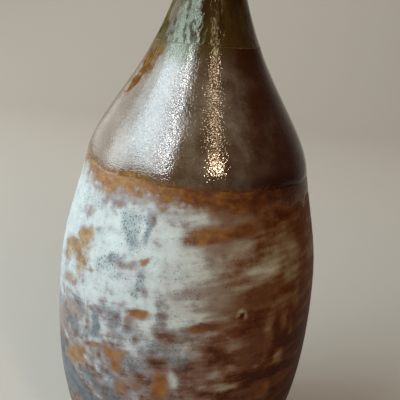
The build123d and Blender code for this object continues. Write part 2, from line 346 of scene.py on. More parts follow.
def pit_relief(angle, height):
    """A burst bubble in the slip: a small hollow with a raised rim."""
    across = np.radians(turned(angle, PIT[0])) * GIRTH
    away = np.hypot(across / 0.75, (height - PIT[1]) / 1.3)
    return 0.75 * np.exp(-((away - 2.6) / 0.9) ** 2) - 0.5 * np.exp(-(away / 1.5) ** 2)


def slip_layers(angle, height):
    """The body's painted layers: slip thickness, rust, ochre, slate wash and iron warmth, each 0 to 1. The
    slate wash low on the front's left is painted shade with a painted bluish reflection, and the slip's
    thinning towards the foot is partly painted shade.
    """
    drift = grain(angle, height, 13, 9, 5) + 0.5 * grain(angle, height, 5, 4, 6)
    sway = grain(angle, height, 16, 10, 7) + 0.5 * grain(angle, height, 5, 4, 8)
    a, h = angle + 1.9 * drift, height + 2.4 * sway
    slip = read_off(SLIP_ROUND, a) * read_off(SLIP_AND_SHADE_UP, h)
    slip *= 1 - 0.9 * np.clip(brushed(BARE_STROKES, a, h), 0, 1)
    slip += brushed(PALE_STROKES, a, h) * (1 - slip)
    swept = read_off(SWEPT_ROUND, angle)
    dabs = 0.6 * grain(angle, height, 9, 8, 41) + 0.4 * grain(angle, height, 4, 3.5, 42)
    runs = grain(angle, height, 3.5, 20, 43)
    level = height - STROKE_RISE * GIRTH * np.sin(np.radians(angle))
    sweeps = 0.6 * grain(angle, level, 30, 7, 44) + 0.4 * grain(angle, level, 15, 3, 45)
    slip += (0.3 + 0.7 * slip) * ((1 - swept) * (0.65 * dabs + 0.14 * runs) + 0.12 * sweeps)
    slip += 0.36 * swept * np.clip(sweeps, -0.1, None)
    under_run = np.exp(-np.clip(amber_edges(angle)[0] - height, 0, None) / 4) * read_off(AMBER_COVER, angle)
    golden = read_off(AMBER_ROUND, angle)
    rusted = 0.7 * under_run * (1 - 0.5 * golden)
    rust = np.maximum(0.85 * brushed(RUST_STROKES, a, h, np.maximum, 1.3), rusted)
    ochre = np.maximum(0.78 * brushed(OCHRE_STROKES, a, h, np.maximum, 1.3), 0.5 * under_run * golden)
    warm = read_off(WARM_ROUND, a)
    # Slate mottle, which low on the front's left is painted shade with a painted bluish reflection
    slate = brushed(SLATE_SPOTS_AND_SHADE, a, h, np.maximum, 1.3) * (1 - 0.75 * warm)
    return {"slip": np.clip(slip, 0, 1), "rust": rust, "ochre": ochre, "slate": slate, "warm": warm}


def slip_depth(angle, height):
    layers = slip_layers(angle, height)
    stained = np.maximum(layers["rust"], layers["ochre"])
    strokes = grain(angle, height, 26, 2.6, 9)
    body = 0.34 + 0.34 * layers["slip"] - 0.12 * stained + throwing_ridges(angle, height) + 0.07 * strokes
    body = np.maximum(body + pit_relief(angle, height), 0.12)
    under_glaze = soft_step(height, AMBER_LINE - 9, AMBER_LINE + 3)
    return body * (1 - under_glaze) + (0.28 + 0.04 * strokes) * under_glaze


def amber_edges(angle):
    low = AMBER_LINE - wandering(AMBER_RUNS, angle) + 0.8 * grain(angle, 0, 6, 1, 11)
    return low, glaze_edge(angle) + 4


def glaze_edge(angle):
    return GLAZE_LINE - wandering(GLAZE_RUNS, angle) + 0.7 * grain(angle, 0, 9, 1, 12)


def rolled(distance, radius):
    """A coat's rounded edge: 0 at the edge and 1 one radius in from it."""
    inwards = np.clip(distance / radius, 0, 1)
    return np.sqrt(np.clip(1 - (1 - inwards) ** 2, 0, 1))


def amber_depth(angle, height):
    low = amber_edges(angle)[0]
    bead = 0.16 * soft_step(wandering(AMBER_RUNS, angle), 3, 9) * np.exp(-((height - low - 3) / 2.5) ** 2)
    film = 0.08 * soft_step(height - low, 0, 4) + bead * rolled(height - low, 3)
    return slip_depth(angle, height) + 0.03 + film


def glaze_depth(angle, height):
    inwards = height - glaze_edge(angle)
    bead = 0.12 * np.exp(-((inwards - 3.5) / 2.5) ** 2)
    swell = 0.12 * grain(angle, height, 18, 15, 14) + 0.05 * grain(angle, height, 7, 6, 15)
    peel = 0.03 * grain(angle, height, 2.6, 2.2, 16)
    full = 0.5 * soft_step(inwards, 0, 9) + 0.25 * soft_step(height, NECK_SEAM - 9, NECK_SEAM - 1)
    clear_of_edges = soft_step(inwards, 0, 3) * (1 - soft_step(height, NECK_SEAM - 5, NECK_SEAM))
    return 0.62 + full + (bead + swell + peel) * clear_of_edges


def thinned(patches, angle, height):
    """How far a glaze is thinned in its patches, with wandering edges. Only the front has them."""
    a = angle + 3 * grain(angle, height, 10, 8, 23)
    h = height + 3 * grain(angle, height, 12, 8, 24)
    return brushed(patches, a, h, np.maximum) * (1 - soft_step(np.abs(angle), 84, 108))


# Modelling

def spin_section(name, section, turns):
    """A half section drawn point by point from one merged corner, closed, then spun round the pot's axis."""
    bpy.ops.object.select_all(action="DESELECT")
    bpy.ops.mesh.primitive_plane_add(size=MM)
    piece = bpy.context.object
    piece.name = piece.data.name = name
    bpy.ops.object.mode_set(mode="EDIT")
    bpy.ops.mesh.select_all(action="SELECT")
    bpy.ops.mesh.merge(type="CENTER")
    radius, height = section[0]
    bpy.ops.transform.translate(value=(0, -radius * MM, height * MM))
    for (r, h), (next_r, next_h) in zip(section, section[1:] + section[:1]):
        move = (0, (r - next_r) * MM, (next_h - h) * MM)
        bpy.ops.mesh.extrude_vertices_move(TRANSFORM_OT_translate={"value": move})
    bpy.ops.mesh.select_all(action="SELECT")
    bpy.ops.mesh.remove_doubles(threshold=0.001 * MM)
    bpy.ops.object.mode_set(mode="OBJECT")
    wheel = piece.modifiers.new("wheel", "SCREW")
    wheel.axis, wheel.angle = "Z", 2 * math.pi
    wheel.steps = wheel.render_steps = turns
    bpy.ops.object.modifier_apply(modifier=wheel.name)
    bpy.ops.object.mode_set(mode="EDIT")
    bpy.ops.mesh.select_all(action="SELECT")
    bpy.ops.mesh.remove_doubles(threshold=0.004 * MM)
    bpy.ops.mesh.normals_make_consistent(inside=False)
    bpy.ops.object.mode_set(mode="OBJECT")
    return piece


def spun_coat(name, depth, fine, coarse_steps, turns):
    """A coat spun from a closed half section: a finely stepped outside and a coarse clay side."""
    outside = [(clay(h) + depth, h) for h in fine]
    inside = [(clay(h) + BOND, h) for h in np.linspace(fine[0], fine[-1], coarse_steps)[::-1]]
    return spin_section(name, outside + inside, turns)


def places(piece):
    """Angle, height and radius of every vertex, in degrees and mm."""
    spots = np.zeros(len(piece.data.vertices) * 3)
    piece.data.vertices.foreach_get("co", spots)
    x, y, z = spots.reshape(-1, 3).T / MM
    return np.degrees(np.arctan2(x, -y)), z, np.hypot(x, y)


def put(piece, angle, height, radius, push=0):
    """Puts every vertex at its place, and pushes it on from there, in mm."""
    turn = np.radians(angle)
    spots = np.stack([radius * np.sin(turn), -radius * np.cos(turn), height], axis=-1) + push
    piece.data.vertices.foreach_set("co", (spots * MM).ravel())
    piece.data.update()


def lay_on_clay(piece, span, edges, depth, inner_depth):
    """Lays a spun coat on the clay again, between its wandering edges and at its own depth everywhere."""
    angle, height, radius = places(piece)
    outside = radius - clay(height) > 2 * BOND
    low, high = edges(angle)
    share = (height - span[0]) / (span[1] - span[0])
    height = low + share * (high - low)
    over = np.empty(len(angle))
    over[outside] = depth(angle[outside], height[outside])
    over[~outside] = inner_depth(angle[~outside], height[~outside])
    slope = clay(height + 0.5) - clay(height - 0.5)
    steep = np.sqrt(1 + slope * slope)
    put(piece, angle, height - over * slope / steep, clay(height) + over / steep)
    return angle, height


def paint(piece, **layers):
    """Layers kept on the mesh as attributes for the material."""
    for name, values in layers.items():
        layer = piece.data.attributes.new(name, "FLOAT", "POINT")
        layer.data.foreach_set("value", np.asarray(values, dtype=np.float32))


def finish_piece(piece, material, slot, *nodes):
    """Smooth shading with crisp rims, the finish, and what the piece stands for."""
    bpy.ops.object.select_all(action="DESELECT")
    piece.select_set(True)
    bpy.context.view_layer.objects.active = piece
    bpy.ops.object.shade_smooth_by_angle(angle=math.radians(40))
    piece.data.materials.clear()
    piece.data.materials.append(material)
    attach(piece, "root")
    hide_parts(*nodes)


def body_slip_coat(material):
    low, high = SLIP_LINE, GLAZE_LINE - 2.0
    piece = spun_coat("brushed_body_slip", 0.6, np.linspace(low, high, 172), 24, 400)

    def edges(angle):
        return low + 1.2 * grain(angle, 0, 20, 1, 21), np.full(len(angle), high)

    def depth(angle, height):
        return BOND + (slip_depth(angle, height) - BOND) * rolled(height - edges(angle)[0], 2.0)

    angle, height = lay_on_clay(piece, (low, high), edges, depth, lambda a, h: np.full(len(a), BOND))
    paint(piece, **slip_layers(angle, height))
    finish_piece(piece, material, "pale_slip", "body_slip")


def amber_coat(material):
    low, high = AMBER_LINE, GLAZE_LINE + 4
    piece = spun_coat("amber_run_band", 0.6, np.linspace(low, high, 26), 14, 400)
    angle, height = lay_on_clay(
        piece, (low, high), amber_edges, amber_depth, lambda a, h: slip_depth(a, h) + 0.02
    )
    paint(
        piece,
        **slip_layers(angle, height),
        edge=height - amber_edges(angle)[0],
        amber=read_off(AMBER_ROUND, angle),
        cover=read_off(AMBER_COVER, angle),
    )
    finish_piece(piece, material, "amber_glaze", "amber_band")


def shoulder_glaze_coat(material):
    low, high = GLAZE_LINE, NECK_SEAM + 0.05
    fine = np.concatenate([np.linspace(low, low + 4, 9)[:-1], np.linspace(low + 4, high, 108)])
    piece = spun_coat("orange_peel_shoulder_glaze", 1.1, fine, 24, 560)

    def edges(angle):
        short = 0.6 * soft_step(np.sin(np.radians(angle)), 0, 0.5)
        return glaze_edge(angle), high - short

    def inner(angle, height):
        return BOND + 0.52 * (1 - soft_step(height, low + 5, low + 8))

    angle, height = lay_on_clay(piece, (low, high), edges, glaze_depth, inner)
    paint(
        piece,
        edge=height - glaze_edge(angle),
        amber=read_off(AMBER_ROUND, angle),
        dark=read_off(GLAZE_DARK_AND_SHADE_ROUND, angle + 3 * grain(angle, height, 10, 8, 23)),
        golden=thinned(GOLDEN_PATCHES, angle, height),
        flush=thinned(FLUSHED_PATCHES, angle, height),
    )
    finish_piece(piece, material, "brown_glaze", "shoulder_glaze")


def neck_path(depth, low, inner_low, steps):
    """Points at one distance from the clay, up the neck's outside, over the lip and down its inside."""
    lip_middle = clay(LIP) - WALL / 2
    up = [(clay(h) + depth, h) for h in np.linspace(low, LIP, steps)]
    turn = np.radians(np.linspace(0, 180, max(5, steps // 6)))[1:-1]
    reach = WALL / 2 + depth
    over = [(lip_middle + reach * math.cos(t), LIP + reach * math.sin(t)) for t in turn]
    down = [(clay(h) - WALL - depth, h) for h in np.linspace(LIP, inner_low, steps)]
    return up + over + down


def neck_glaze_coat(material):
    inner_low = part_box("neck_glaze")[0].z / MM + 0.3
    bottom = NECK_SEAM + 1.1
    surface = neck_path(1.4, bottom, inner_low, 100)
    clay_side = neck_path(BOND, bottom, inner_low, 16)
    piece = spin_section("olive_neck_glaze", surface + clay_side[::-1], 256)
    angle, height, radius = places(piece)
    lip_middle = clay(LIP) - WALL / 2
    away = np.where(
        height > LIP,
        np.hypot(radius - lip_middle, height - LIP) - WALL / 2,
        np.maximum(radius - clay(height), clay(height) - WALL - radius),
    )
    glossy = away > 0.7
    normals = np.zeros(len(angle) * 3)
    piece.data.vertices.foreach_get("normal", normals)
    swell = 0.16 * grain(angle, height, 34, 22, 26) + 0.07 * grain(angle, height, 22, 8, 27)
    swell *= soft_step(height, bottom, bottom + 6)
    # On the left the glaze ran down over the seam's bead to the shoulder glaze
    on_left = soft_step(-np.sin(np.radians(angle)), -0.1, 0.3)
    ran = 1.05 * on_left * (1 - soft_step(height, bottom, bottom + 8))
    outside = radius > clay(height) - WALL / 2
    over = radius - clay(height)
    height = np.where(outside, height - ran, height)
    radius = np.where(outside, clay(height) + over, radius)
    put(piece, angle, height, radius, push=normals.reshape(-1, 3) * (swell * glossy)[:, None])
    paint(piece, golden=thinned(GOLDEN_PATCHES, angle, height))
    finish_piece(piece, material, "olive_glaze", "neck_glaze")


def neck_seam_bead(material):
    """The joining slip in the neck's bevelled seam, which stands out as an uneven bead between the glazes."""
    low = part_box("neck_lute")[0].z / MM
    # Room for the bead's own unevenness
    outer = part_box("neck_lute")[1].x / MM - 0.75
    slope = math.tan(math.radians(SEAM_BEVEL))
    inner = clay(low) - WALL - 1.4
    out_low = low + (outer - inner) * slope
    section = [
        (inner, low),
        (outer - 0.8, out_low - 0.8 * slope),
        (outer - 0.15, out_low + 0.25),
        (outer, out_low + 0.6),
        (outer - 0.2, out_low + LUTE - 0.15),
        (outer - 0.8, out_low + LUTE - 0.8 * slope),
        (inner, low + LUTE),
    ]
    piece = spin_section("neck_seam_bead", section, 320)
    angle, height, radius = places(piece)
    proud = soft_step(radius, outer - 1.2, outer)
    uneven = 0.3 + 0.1 * grain(angle, height, 14, 14, 31) + 0.06 * grain(angle, height, 4, 4, 32)
    put(piece, angle, height, radius + uneven * proud)
    paint(piece, pale=soft_step(np.sin(np.radians(angle)), 0.05, 0.35))
    finish_piece(piece, material, "joining_slip", "neck_lute")


# Materials

# What a node is set to unless its call says otherwise
USUAL = {
    "Math": {"operation": "MULTIPLY_ADD"},
    "VectorMath": {"operation": "MULTIPLY"},
    "MapRange": {"interpolation_type": "SMOOTHSTEP"},
    "Mix": {"data_type": "RGBA"},
}
# Sockets of a colour mix: its share and the colours under and over, and what comes out
MIX_COLOUR_IN, MIX_COLOUR_OUT = (0, 6, 7), 2


def linear(colour):
    """An sRGB hex colour as linear light."""
    parts = [int(colour[i:i + 2], 16) / 255 for i in (1, 3, 5)]
    return tuple(p / 12.92 if p <= 0.04045 else ((p + 0.055) / 1.055) ** 2.4 for p in parts) + (1.0,)


def connect(node, links):
    """Gives a node's sockets their links, values or hex colours."""
    for socket, value in links.items():
        if isinstance(value, bpy.types.NodeSocket):
            node.id_data.links.new(value, node.inputs[socket])
        else:
            node.inputs[socket].default_value = linear(value) if isinstance(value, str) else value


def add_node(tree, kind, *inputs, stops=None, out=0, **given):
    """One node with its inputs, in their own order or by name, its settings and any colour stops. Gives an
    output."""
    made = tree.nodes.new("ShaderNode" + kind)
    links = dict(zip(MIX_COLOUR_IN if kind == "Mix" else range(len(inputs)), inputs))
    for name, value in {**USUAL.get(kind, {}), **given}.items():
        if name in made.inputs:
            links[name] = value
        else:
            setattr(made, name, value)
    connect(made, links)
    if stops:
        ramp = made.color_ramp.elements
        while len(ramp) < len(stops):
            ramp.new(0.5)
        for element, (position, _) in zip(ramp, stops):
            element.position = position
        for element, (_, colour) in zip(ramp, stops):
            element.color = linear(colour)
    return made.outputs[MIX_COLOUR_OUT if kind == "Mix" else out]


def new_finish(name):
    """An empty material, what adds nodes to it, its object coordinates and the same wrapped on a drum as wide
    as the pot."""
    finish = bpy.data.materials.new(name)
    finish.use_nodes = True
    add = partial(add_node, finish.node_tree)
    here = add("TexCoord", out="Object")
    level = add("VectorMath", here, (1, 1, 0))
    round_axis = add("VectorMath", level, operation="NORMALIZE")
    rise = add("VectorMath", here, (0, 0, 1))
    drum = add("VectorMath", round_axis, (GIRTH * MM,) * 3, rise, operation="MULTIPLY_ADD")
    return finish, add, here, drum


def fired(finish, colour, rough, bump, others=None):
    """The material once its shader has its colour, roughness and relief, and its other sockets by name."""
    sockets = {"Base Color": colour, "Roughness": rough, "Normal": bump, **(others or {})}
    connect(finish.node_tree.nodes["Principled BSDF"], sockets)
    return finish


def laid_over(add, under, colour, amount, starts, full, most):
    """A colour laid over another: it starts to show at one amount and reaches its most at another."""
    return add("Mix", add("MapRange", amount, starts, full, 0, most), under, colour)


def mottle(add, where, across, along, detail, roughness=0.5):
    """Noise with its grain given in mm, round the pot and up it."""
    grained = add("VectorMath", where, (1 / (across * MM), 1 / (across * MM), 1 / (along * MM)))
    return add("TexNoise", Vector=grained, Scale=1.0, Detail=detail, Roughness=roughness)


# Bright glazes of the shoulder and neck, the green tint of their gloss on the neck, which is a painted
# reflection colour, and their olive at the seam
GLAZE_IOR = 1.8
NECK_PAINTED_REFLECTION_GREEN = "#D6E8D2"
SEAM_OLIVE = "#46300F"
# Plainer glazes
THIN_GLAZE_IOR = 1.55
SATIN_GLAZE_IOR = 1.5
# Thick to thin amber glaze over slip
AMBER_TONES = [(0.02, "#3A1709"), (0.28, "#5C2D11"), (0.50, "#7C4A1C"), (0.72, "#946429"), (0.95, "#AA803E")]
# Thin to thick slip: dabbed from iron brown through mauve grey to chalky white, swept through beige
DABBED_TONES = [
    (0.00, "#35190C"), (0.16, "#573521"), (0.28, "#705446"), (0.36, "#816D66"), (0.43, "#8E8482"),
    (0.52, "#9E9A9C"), (0.59, "#B2B3B5"), (0.67, "#C4CBCC"), (0.95, "#D5E0E1"),
]
SWEPT_TONES = [
    (0.00, "#2A1006"), (0.15, "#4A1F09"), (0.27, "#673712"), (0.35, "#785030"), (0.43, "#886B4E"),
    (0.52, "#988468"), (0.60, "#AC9D82"), (0.70, "#C2BAA4"), (0.95, "#D8D3C4"),
]
SLIP_LAYERS = ("slip", "rust", "ochre", "slate", "warm")
GLAZE_LAYERS = ("edge", "amber", "dark", "golden", "flush")


def slip_colour(add, here, drum):
    """Colour of the brushed slip from its painted layers, and the streaks, blots and grit in it."""
    painted = (add("Attribute", attribute_name=name, out="Fac") for name in SLIP_LAYERS)
    slip, rust, ochre, slate, warm = painted

    # Brush hairs leave streaks about 1.6 mm high and 16 mm long, climbing to the right
    climbing = add("Mapping", Vector=drum, Rotation=(0, math.atan(STROKE_RISE), 0))
    streak = mottle(add, climbing, 16, 1.6, 3.0, 0.6)
    # Slip tears and pools in ragged blots, from 6 mm down to a fraction of one
    blot = mottle(add, drum, 6, 5, 6.0, 0.66)
    # Clumped grain of the slip, about 1.2 mm
    grit = mottle(add, drum, 1.2, 1.2, 2.0, 0.75)
    # Iron stain gathers and fades over about 14 mm
    stain = mottle(add, drum, 14, 10, 4.0, 0.55)

    # All four break the slip up, as much to thick as to thin
    shares = ((streak, 0.28), (blot, 0.60), (grit, 0.24), (stain, -0.36))
    broken = -sum(share for _, share in shares) / 2
    for noise, share in shares:
        broken = add("Math", noise, share, broken)
    # Slip brushed on in wide sweeps tears less than slip dabbed on
    calm = add("Math", warm, -0.5, 1.0)
    broken = add("Math", broken, calm, operation="MULTIPLY")
    thick = add("Math", slip, broken, operation="ADD")
    dabbed = add("ValToRGB", thick, stops=DABBED_TONES)
    swept = add("ValToRGB", thick, stops=SWEPT_TONES)
    colour = add("Mix", warm, dabbed, swept)

    # Slate wash, with specks of about 1 mm that clump in it; low on the front's left the wash is painted shade
    # with a painted bluish reflection
    slate_wash_and_shade = add("Math", slate, broken, operation="ADD")
    colour = laid_over(add, colour, "#647A86", slate_wash_and_shade, 0.1, 1.0, 0.8)
    crowd = add("Math", slate, 0.5, operation="MINIMUM")
    crowd = add("Math", crowd, 0.24, grit)
    colour = laid_over(add, colour, "#48525A", crowd, 0.60, 0.78, 0.8)

    # Iron stains go from white through a mauve fringe to ochre or rust, with more ragged edges than the slip
    ragged = add("Math", broken, 1.7, operation="MULTIPLY")
    gilt = add("Math", ochre, ragged, operation="ADD")
    colour = laid_over(add, colour, "#9C8C86", gilt, 0.05, 0.5, 0.55)
    faded = add("Math", streak, 0.6, stain)
    gold = add("ValToRGB", faded, stops=[(0.62, "#7E5A2C"), (0.8, "#9A743C"), (0.98, "#B4976A")])
    colour = laid_over(add, colour, gold, gilt, 0.42, 0.70, 0.85)

    worn = add("Math", rust, ragged, operation="ADD")
    edging = add("Mix", warm, "#846A60", "#6A4226")
    colour = laid_over(add, colour, edging, worn, 0.05, 0.5, 0.6)
    # Burnt brown on the warm side, orange where it shows through the white
    burnt = add("Math", warm, -0.14, stain)
    burnt = add("ValToRGB", burnt, stops=[(0.22, "#532A10"), (0.38, "#78461C"), (0.6, "#A4702E")])
    colour = laid_over(add, colour, burnt, worn, 0.40, 0.80, 0.9)

    # Iron specks of about 0.8 mm, in some of the 5 mm cells
    cells = {"Vector": here, "Scale": 1 / (5 * MM)}
    some = add("TexVoronoi", out="Color", **cells)
    some = add("Math", some, 0.7, operation="GREATER_THAN")
    iron = add("TexVoronoi", **cells)
    iron = add("MapRange", iron, 0.06, 0.12, 0.75, 0.0)
    iron = add("Math", iron, some, operation="MULTIPLY")
    colour = add("Mix", iron, colour, "#3B2A20")
    return colour, streak, blot, grit


def brushed_slip():
    """White porcelain slip brushed over brown stoneware, under a thin clear glaze: milky where thick, mauve
    and tan where the iron body stains it, rust where it was wiped bare, with slate specks and a soft satin
    gloss."""
    finish, add, here, drum = new_finish("porcelain_slip_brushed_satin_glazed")
    colour, streak, blot, grit = slip_colour(add, here, drum)
    rough = add("Math", blot, 0.20, 0.34)
    relief = add("Math", streak, 0.6, grit)
    bump = add("Bump", Strength=0.45, Distance=0.25 * MM, Height=relief)
    # The iron-rich slip of the warm side fires drier
    warm = add("Attribute", attribute_name="warm", out="Fac")
    gloss = add("Math", warm, -0.2, 0.25)
    return fired(finish, colour, rough, bump, {"Specular IOR Level": gloss, "IOR": SATIN_GLAZE_IOR})


def amber_run():
    """Iron-rich glaze run thin over white slip: golden amber, burnt brown where it pools, breaking up to the
    mauve-white slip along its lower edge."""
    finish, add, here, drum = new_finish("amber_iron_glaze_run_over_slip")
    slip, _, blot, grit = slip_colour(add, here, drum)
    layers = ("amber", "cover", "edge")
    amber, cover, edge = (add("Attribute", attribute_name=name, out="Fac") for name in layers)
    # Pools of thick and thin glaze about 7 mm wide, drawn out sideways by the brush
    pool = mottle(add, drum, 7, 3.6, 3.0)
    shade = add("Math", pool, 0.55, operation="SUBTRACT")
    shade = add("Math", shade, amber, operation="ADD")
    colour = add("ValToRGB", shade, stops=AMBER_TONES)
    # The glaze thickens over about 6 mm from its lower edge, breaking into pools and ragged blots on the way
    hides = add("Math", blot, 1.6, pool)
    hides = add("Math", cover, 0.9, hides)
    hides = add("Math", edge, 0.11, hides)
    colour = laid_over(add, slip, colour, hides, 2.2, 2.9, 0.94)
    rough = add("Math", grit, 0.2, 0.18)
    relief = add("Math", pool, 1.5, grit)
    bump = add("Bump", Strength=0.4, Distance=0.2 * MM, Height=relief)
    return fired(finish, colour, rough, bump, {"IOR": THIN_GLAZE_IOR})


def brown_shoulder_glaze():
    """Iron-brown stoneware glaze with an orange-peel skin: a wet gloss broken into sparkles, taupe where it is
    milky, red-brown where it runs thick to its lower edge and amber where it thins out there. Its darker right
    side and the dark band along its lower edge are partly painted shade."""
    finish, add, here, drum = new_finish("brown_stoneware_glaze_orange_peel")
    painted = (add("Attribute", attribute_name=name, out="Fac") for name in GLAZE_LAYERS)
    edge, amber, dark, golden, flush = painted
    height = add("SeparateXYZ", here, out="Z")
    side = add("SeparateXYZ", here, out="X")
    # Clouds of milkier glaze, about 16 mm
    cloud = mottle(add, here, 16, 16, 5.0, 0.6)
    # Breaks in the glaze along its lower edge, about 4 mm wide
    run = mottle(add, drum, 4, 4, 4.0, 0.6)
    # Orange peel: dimples about 1.3 mm apart
    peel = mottle(add, here, 1.3, 1.3, 1.0)
    # On the left the glaze melted further, to a crinkle about 1 mm apart
    crinkle = mottle(add, here, 1.0, 0.9, 1.0)
    # Shallow wrinkles about 8 mm long and 2 mm high that lie across the slope
    wrinkle = mottle(add, drum, 8, 2, 2.0)

    mixed = add("Math", peel, 0.22, cloud)
    colour = add("ValToRGB", mixed, stops=[
        (0.38, "#503C28"), (0.54, "#624E3A"), (0.68, "#746250"), (0.85, "#867664"),
    ])
    high_up = add("Math", cloud, 30 * MM, height)
    high_up = add("MapRange", high_up, 302 * MM, 322 * MM, 0, 0.9)
    colour = add("Mix", high_up, colour, SEAM_OLIVE)
    # Darkened from the painted dark layer: thicker glaze, and on the right partly painted shade
    deep_and_shaded = add("Math", cloud, 0.8, -0.4)
    deep_and_shaded = add("Math", dark, deep_and_shaded, operation="SUBTRACT")
    deep_and_shaded = add("MapRange", deep_and_shaded, 0.1, 0.95, 0, 0.9)
    colour = add("Mix", deep_and_shaded, colour, "#3A1203")
    # A dark band along the lower edge, where the glaze runs thick; on the right it is also a painted shadow
    # under the glaze's rolled edge
    thick = add("Math", cloud, -10.0, edge)
    thick = add("MapRange", thick, -2.0, 8.0, 0.9, 0.0)
    pooled_and_shaded = add("Math", dark, 1.2, 0.04)
    thick = add("Math", thick, pooled_and_shaded, operation="MULTIPLY", use_clamp=True)
    colour = add("Mix", thick, colour, "#300F05")
    # Thin glaze breaks raggedly to golden brown, and to khaki near the neck
    golden = add("Math", run, 0.7, golden)
    golden = add("MapRange", golden, 0.75, 1.05)
    milky = add("MapRange", cloud, 0.40, 0.62, 0.92, 0.45)
    golden = add("Math", golden, milky, operation="MULTIPLY")
    gold = add("ValToRGB", run, stops=[(0.36, "#5A3A18"), (0.5, "#76522A"), (0.64, "#927044")])
    khaki = add("ValToRGB", run, stops=[(0.36, "#5A5036"), (0.5, "#786C4E"), (0.64, "#90866A")])
    gold = add("Mix", high_up, gold, khaki)
    colour = add("Mix", golden, colour, gold)
    flush = add("Math", run, 0.7, flush)
    flush = add("MapRange", flush, 0.7, 1.1, 0, 0.75)
    colour = add("Mix", flush, colour, "#6A3C24")
    shade = add("Math", run, 1.1, -0.6)
    shade = add("Math", shade, amber, operation="ADD")
    thin = add("ValToRGB", shade, stops=AMBER_TONES)
    lacy = add("Math", run, -10.0, edge)
    lacy = add("Math", amber, -6.0, lacy)
    lacy = add("MapRange", lacy, -11.0, -3.0, 0.9, 0.0)
    colour = add("Mix", lacy, colour, thin)

    rough = add("Math", cloud, 0.06, 0.03)
    rough = add("Math", golden, 0.2, rough)
    crinkle = add("Math", crinkle, 0.40, operation="MULTIPLY")
    peel = add("Math", peel, 0.50, operation="MULTIPLY")
    front = add("MapRange", side, -16 * MM, -2 * MM)
    peel = add("Mix", front, crinkle, peel)
    relief = add("Math", wrinkle, 0.3, peel)
    melted = add("Math", high_up, -0.4, 0.9)
    inwards = add("MapRange", edge, 0.0, 3.0, 0.35, 1.0)
    melted = add("Math", melted, inwards, operation="MULTIPLY")
    bump = add("Bump", Strength=melted, Distance=0.42 * MM, Height=relief)
    # The gloss dulls where the glaze thins to gold and where the right side is darkened, by thick glaze and by
    # painted shade
    gloss = add("Math", high_up, -0.36, 0.88)
    gloss = add("Math", golden, -1.1, gloss, use_clamp=True)
    gloss = add("Math", flush, -0.5, gloss, use_clamp=True)
    dull = add("MapRange", deep_and_shaded, 0.3, 0.9, 1.0, 0.35)
    gloss = add("Math", gloss, dull, operation="MULTIPLY")
    # Near the seam its reflections take on the neck's painted green reflection tint
    tint = add("Mix", high_up, (1, 1, 1, 1), NECK_PAINTED_REFLECTION_GREEN)
    shine = {"Specular IOR Level": gloss, "Specular Tint": tint, "IOR": GLAZE_IOR}
    return fired(finish, colour, rough, bump, shine)


def olive_neck_gloss():
    """Thick iron-olive glaze fired to full melt: a smooth wet gloss that pools dark and breaks rusty on the
    lip."""
    finish, add, here, _ = new_finish("olive_stoneware_glaze_full_gloss")
    height = add("SeparateXYZ", here, out="Z")
    # Pools and runs about 9 mm wide and 26 mm long
    run = mottle(add, here, 9, 26, 4.0, 0.55)
    # Slow swell of the melt in short runs, about 4 mm wide and 11 mm long
    swell = mottle(add, here, 4, 11, 3.0)
    # Fine specks of undissolved iron, about 0.8 mm
    speck = add("TexVoronoi", Vector=here, Scale=1 / (3.5 * MM))
    speck = add("MapRange", speck, 0.10, 0.18, 0.6, 0.0)
    colour = add("ValToRGB", run, stops=[
        (0.30, "#281505"), (0.45, "#362008"), (0.60, "#442E0E"), (0.75, "#54461E"),
    ])
    joined = add("Math", run, -16 * MM, height)
    joined = add("MapRange", joined, (NECK_SEAM - 6) * MM, (NECK_SEAM + 6) * MM, 1.0, 0.0)
    colour = add("Mix", joined, colour, SEAM_OLIVE)
    # The shoulder's golden patch runs up the neck's left side
    golden = add("Attribute", attribute_name="golden", out="Fac")
    golden = add("Math", swell, 0.9, golden)
    golden = add("MapRange", golden, 0.75, 1.3, 0, 0.85)
    khaki = add("ValToRGB", swell, stops=[(0.36, "#3E3418"), (0.5, "#544A2A"), (0.64, "#6A603E")])
    colour = add("Mix", golden, colour, khaki)
    colour = add("Mix", speck, colour, "#20120A")
    lip = add("Math", run, 4 * MM, height)
    colour = laid_over(add, colour, "#6C3F1A", lip, (LIP + 2.6) * MM, (LIP + 6.4) * MM, 0.9)
    rough = add("Math", run, 0.14, 0.07)
    # The shoulder's orange peel runs on into the foot of the neck
    peel = mottle(add, here, 1.0, 1.0, 1.0)
    peel = add("Math", peel, joined, operation="MULTIPLY")
    relief = add("Math", peel, 0.15, swell)
    bump = add("Bump", Strength=0.6, Distance=1.1 * MM, Height=relief)
    # Iron gathers in short runs about 4 mm wide that fire nearly matt
    matt = add("MapRange", swell, 0.50, 0.60, 1.0, 0.25)
    gloss = add("Math", joined, 0.15, 0.52)
    gloss = add("Math", gloss, matt, operation="MULTIPLY")
    gloss = add("Math", golden, -0.75, gloss, use_clamp=True)
    rough = add("Math", golden, 0.2, rough)
    # The green specular tint is a painted reflection colour
    shine = {"Specular IOR Level": gloss, "Specular Tint": NECK_PAINTED_REFLECTION_GREEN, "IOR": GLAZE_IOR}
    return fired(finish, colour, rough, bump, shine)


def stained_seam_slip():
    """Joining slip left as a bead and washed over by the glazes: olive brown where they cover it, tan where
    they ran thin over its crest."""
    finish, add, here, _ = new_finish("joining_slip_glaze_washed")
    pale = add("Attribute", attribute_name="pale", out="Fac")
    # Wash breaks up about every 5 mm along the bead
    wash = mottle(add, here, 5, 2, 4.0)
    colour = add("ValToRGB", wash, stops=[(0.35, "#4A3114"), (0.55, "#6A4E28"), (0.75, "#86704A")])
    colour = add("Mix", pale, SEAM_OLIVE, colour)
    rough = add("Math", wash, 0.3, 0.1)
    bump = add("Bump", Strength=0.4, Distance=0.15 * MM, Height=wash)
    return fired(finish, colour, rough, bump, {"IOR": THIN_GLAZE_IOR})


